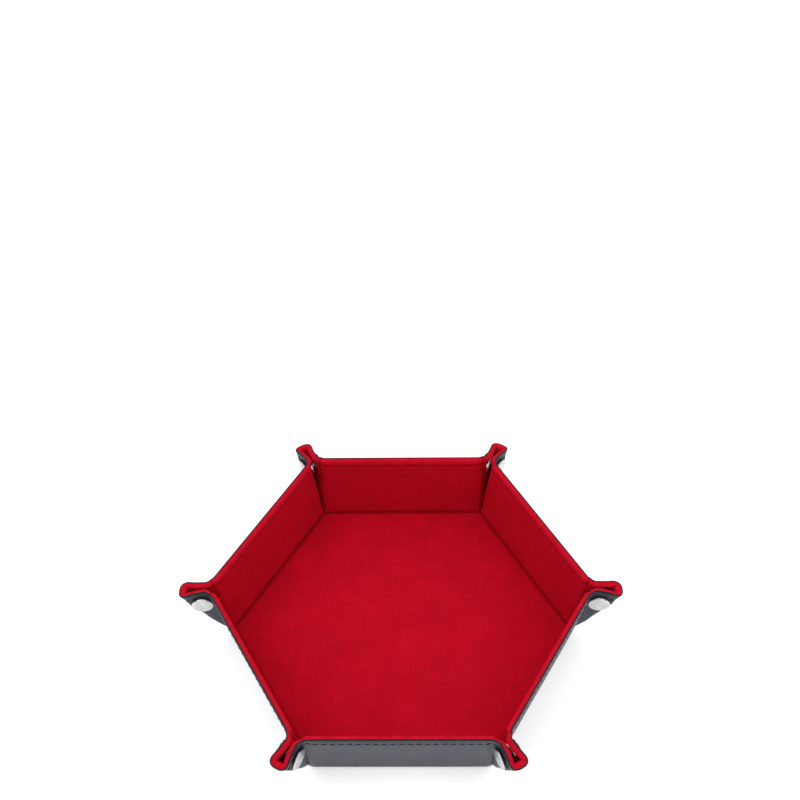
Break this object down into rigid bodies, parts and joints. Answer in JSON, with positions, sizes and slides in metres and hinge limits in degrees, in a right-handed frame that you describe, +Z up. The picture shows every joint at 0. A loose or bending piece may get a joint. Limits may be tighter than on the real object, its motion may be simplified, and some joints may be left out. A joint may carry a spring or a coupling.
{
  "type": "folding dice tray",
  "caption": "Folding hexagonal dice tray: leather outside, velvet inside, walls that snap up at pinched corner ears and open flat.",
  "frame": {"origin": "on the table under the middle of the floor", "axes": "+Z up out of the tray; +X through a corner ear; +Y across the flats"},
  "size_m": [0.24, 0.2116, 0.0431],
  "materials": {
    "leather": "dark grey pebbled faux leather, soft sheen",
    "velvet": "crimson short-pile velvet",
    "board": "stiff fibreboard, hidden between the sheets",
    "corner_laminate": "leather and velvet bonded together with no board",
    "thread": "red sewing thread",
    "nickel": "bright nickel-plated steel"
  },
  "bodies": {
    "base": {"base_board": "board", "base_cover": "leather", "base_lining": "velvet"},
    "wall_1": {"wall_1_board": "board", "wall_1_cover": "leather", "wall_1_lining": "velvet", "rim_thread_1": "thread"},
    "stud_flap_1": {"corner_1_stud_flap": "corner_laminate", "snap_1_stud": "nickel"},
    "tip_1": {"corner_1_tip": "corner_laminate"},
    "socket_flap_1": {"corner_1_socket_flap": "corner_laminate", "snap_1_socket": "nickel"},
    "wall_2": {"wall_2_board": "board", "wall_2_cover": "leather", "wall_2_lining": "velvet", "rim_thread_2": "thread"},
    "stud_flap_2": {"corner_2_stud_flap": "corner_laminate", "snap_2_stud": "nickel"},
    "tip_2": {"corner_2_tip": "corner_laminate"},
    "socket_flap_2": {"corner_2_socket_flap": "corner_laminate", "snap_2_socket": "nickel"},
    "wall_3": {"wall_3_board": "board", "wall_3_cover": "leather", "wall_3_lining": "velvet", "rim_thread_3": "thread"},
    "stud_flap_3": {"corner_3_stud_flap": "corner_laminate", "snap_3_stud": "nickel"},
    "tip_3": {"corner_3_tip": "corner_laminate"},
    "socket_flap_3": {"corner_3_socket_flap": "corner_laminate", "snap_3_socket": "nickel"},
    "wall_4": {"wall_4_board": "board", "wall_4_cover": "leather", "wall_4_lining": "velvet", "rim_thread_4": "thread"},
    "stud_flap_4": {"corner_4_stud_flap": "corner_laminate", "snap_4_stud": "nickel"},
    "tip_4": {"corner_4_tip": "corner_laminate"},
    "socket_flap_4": {"corner_4_socket_flap": "corner_laminate", "snap_4_socket": "nickel"},
    "wall_5": {"wall_5_board": "board", "wall_5_cover": "leather", "wall_5_lining": "velvet", "rim_thread_5": "thread"},
    "stud_flap_5": {"corner_5_stud_flap": "corner_laminate", "snap_5_stud": "nickel"},
    "tip_5": {"corner_5_tip": "corner_laminate"},
    "socket_flap_5": {"corner_5_socket_flap": "corner_laminate", "snap_5_socket": "nickel"},
    "wall_6": {"wall_6_board": "board", "wall_6_cover": "leather", "wall_6_lining": "velvet", "rim_thread_6": "thread"},
    "stud_flap_6": {"corner_6_stud_flap": "corner_laminate", "snap_6_stud": "nickel"},
    "tip_6": {"corner_6_tip": "corner_laminate"},
    "socket_flap_6": {"corner_6_socket_flap": "corner_laminate", "snap_6_socket": "nickel"}
  },
  "joints": [
    {"name": "wall_1_fold", "type": "hinge", "parent": "base", "child": "wall_1", "pos_m": [0.07145, 0.04125, 0.0016], "axis": [-0.5, 0.866, 0], "range_deg": [0, 78]},
    {"name": "wall_2_fold", "type": "hinge", "parent": "base", "child": "wall_2", "pos_m": [0, 0.0825, 0.0016], "axis": [-1, 0, 0], "range_deg": [0, 78]},
    {"name": "wall_3_fold", "type": "hinge", "parent": "base", "child": "wall_3", "pos_m": [-0.07145, 0.04125, 0.0016], "axis": [-0.5, -0.866, 0], "range_deg": [0, 78]},
    {"name": "wall_4_fold", "type": "hinge", "parent": "base", "child": "wall_4", "pos_m": [-0.07145, -0.04125, 0.0016], "axis": [0.5, -0.866, 0], "range_deg": [0, 78]},
    {"name": "wall_5_fold", "type": "hinge", "parent": "base", "child": "wall_5", "pos_m": [0, -0.0825, 0.0016], "axis": [1, 0, 0], "range_deg": [0, 78]},
    {"name": "wall_6_fold", "type": "hinge", "parent": "base", "child": "wall_6", "pos_m": [0.07145, -0.04125, 0.0016], "axis": [0.5, 0.866, 0], "range_deg": [0, 78]},
    {"name": "corner_1_stud_fold", "type": "hinge", "parent": "wall_1", "child": "stud_flap_1", "pos_m": [0.04763, 0.0825, 0.0016], "axis": [0.1504, 0.0868, 0.9848], "range_deg": [0, 64.38]},
    {"name": "corner_1_tip_fold", "type": "hinge", "parent": "stud_flap_1", "child": "tip_1", "pos_m": [0.04763, 0.0825, 0.0016], "axis": [-0.3646, -0.3975, -0.842], "range_deg": [0, 90.76]},
    {"name": "corner_1_socket_fold", "type": "hinge", "parent": "tip_1", "child": "socket_flap_1", "pos_m": [0.04763, 0.0825, 0.0016], "axis": [-0.162, -0.5146, -0.842], "range_deg": [0, 90.76]},
    {"name": "corner_2_stud_fold", "type": "hinge", "parent": "wall_2", "child": "stud_flap_2", "pos_m": [-0.04763, 0.0825, 0.0016], "axis": [0, 0.1736, 0.9848], "range_deg": [0, 64.38]},
    {"name": "corner_2_tip_fold", "type": "hinge", "parent": "stud_flap_2", "child": "tip_2", "pos_m": [-0.04763, 0.0825, 0.0016], "axis": [0.162, -0.5146, -0.842], "range_deg": [0, 90.76]},
    {"name": "corner_2_socket_fold", "type": "hinge", "parent": "tip_2", "child": "socket_flap_2", "pos_m": [-0.04763, 0.0825, 0.0016], "axis": [0.3646, -0.3975, -0.842], "range_deg": [0, 90.76]},
    {"name": "corner_3_stud_fold", "type": "hinge", "parent": "wall_3", "child": "stud_flap_3", "pos_m": [-0.09526, 0, 0.0016], "axis": [-0.1504, 0.0868, 0.9848], "range_deg": [0, 64.38]},
    {"name": "corner_3_tip_fold", "type": "hinge", "parent": "stud_flap_3", "child": "tip_3", "pos_m": [-0.09526, 0, 0.0016], "axis": [0.5266, -0.117, -0.842], "range_deg": [0, 90.76]},
    {"name": "corner_3_socket_fold", "type": "hinge", "parent": "tip_3", "child": "socket_flap_3", "pos_m": [-0.09526, 0, 0.0016], "axis": [0.5266, 0.117, -0.842], "range_deg": [0, 90.76]},
    {"name": "corner_4_stud_fold", "type": "hinge", "parent": "wall_4", "child": "stud_flap_4", "pos_m": [-0.04763, -0.0825, 0.0016], "axis": [-0.1504, -0.0868, 0.9848], "range_deg": [0, 64.38]},
    {"name": "corner_4_tip_fold", "type": "hinge", "parent": "stud_flap_4", "child": "tip_4", "pos_m": [-0.04763, -0.0825, 0.0016], "axis": [0.3646, 0.3975, -0.842], "range_deg": [0, 90.76]},
    {"name": "corner_4_socket_fold", "type": "hinge", "parent": "tip_4", "child": "socket_flap_4", "pos_m": [-0.04763, -0.0825, 0.0016], "axis": [0.162, 0.5146, -0.842], "range_deg": [0, 90.76]},
    {"name": "corner_5_stud_fold", "type": "hinge", "parent": "wall_5", "child": "stud_flap_5", "pos_m": [0.04763, -0.0825, 0.0016], "axis": [0, -0.1736, 0.9848], "range_deg": [0, 64.38]},
    {"name": "corner_5_tip_fold", "type": "hinge", "parent": "stud_flap_5", "child": "tip_5", "pos_m": [0.04763, -0.0825, 0.0016], "axis": [-0.162, 0.5146, -0.842], "range_deg": [0, 90.76]},
    {"name": "corner_5_socket_fold", "type": "hinge", "parent": "tip_5", "child": "socket_flap_5", "pos_m": [0.04763, -0.0825, 0.0016], "axis": [-0.3646, 0.3975, -0.842], "range_deg": [0, 90.76]},
    {"name": "corner_6_stud_fold", "type": "hinge", "parent": "wall_6", "child": "stud_flap_6", "pos_m": [0.09526, 0, 0.0016], "axis": [0.1504, -0.0868, 0.9848], "range_deg": [0, 64.38]},
    {"name": "corner_6_tip_fold", "type": "hinge", "parent": "stud_flap_6", "child": "tip_6", "pos_m": [0.09526, 0, 0.0016], "axis": [-0.5266, 0.117, -0.842], "range_deg": [0, 90.76]},
    {"name": "corner_6_socket_fold", "type": "hinge", "parent": "tip_6", "child": "socket_flap_6", "pos_m": [0.09526, 0, 0.0016], "axis": [-0.5266, -0.117, -0.842], "range_deg": [0, 90.76]}
  ],
  "couplings": [
    {"joint": "wall_2_fold", "follows": "wall_1_fold", "ratio": 1},
    {"joint": "wall_3_fold", "follows": "wall_1_fold", "ratio": 1},
    {"joint": "wall_4_fold", "follows": "wall_1_fold", "ratio": 1},
    {"joint": "wall_5_fold", "follows": "wall_1_fold", "ratio": 1},
    {"joint": "wall_6_fold", "follows": "wall_1_fold", "ratio": 1},
    {"joint": "corner_1_stud_fold", "follows": "wall_1_fold", "ratio": 0.82532},
    {"joint": "corner_1_tip_fold", "follows": "wall_1_fold", "ratio": 1.1636},
    {"joint": "corner_1_socket_fold", "follows": "wall_1_fold", "ratio": 1.1636},
    {"joint": "corner_2_stud_fold", "follows": "wall_1_fold", "ratio": 0.82532},
    {"joint": "corner_2_tip_fold", "follows": "wall_1_fold", "ratio": 1.1636},
    {"joint": "corner_2_socket_fold", "follows": "wall_1_fold", "ratio": 1.1636},
    {"joint": "corner_3_stud_fold", "follows": "wall_1_fold", "ratio": 0.82532},
    {"joint": "corner_3_tip_fold", "follows": "wall_1_fold", "ratio": 1.1636},
    {"joint": "corner_3_socket_fold", "follows": "wall_1_fold", "ratio": 1.1636},
    {"joint": "corner_4_stud_fold", "follows": "wall_1_fold", "ratio": 0.82532},
    {"joint": "corner_4_tip_fold", "follows": "wall_1_fold", "ratio": 1.1636},
    {"joint": "corner_4_socket_fold", "follows": "wall_1_fold", "ratio": 1.1636},
    {"joint": "corner_5_stud_fold", "follows": "wall_1_fold", "ratio": 0.82532},
    {"joint": "corner_5_tip_fold", "follows": "wall_1_fold", "ratio": 1.1636},
    {"joint": "corner_5_socket_fold", "follows": "wall_1_fold", "ratio": 1.1636},
    {"joint": "corner_6_stud_fold", "follows": "wall_1_fold", "ratio": 0.82532},
    {"joint": "corner_6_tip_fold", "follows": "wall_1_fold", "ratio": 1.1636},
    {"joint": "corner_6_socket_fold", "follows": "wall_1_fold", "ratio": 1.1636}
  ]
}
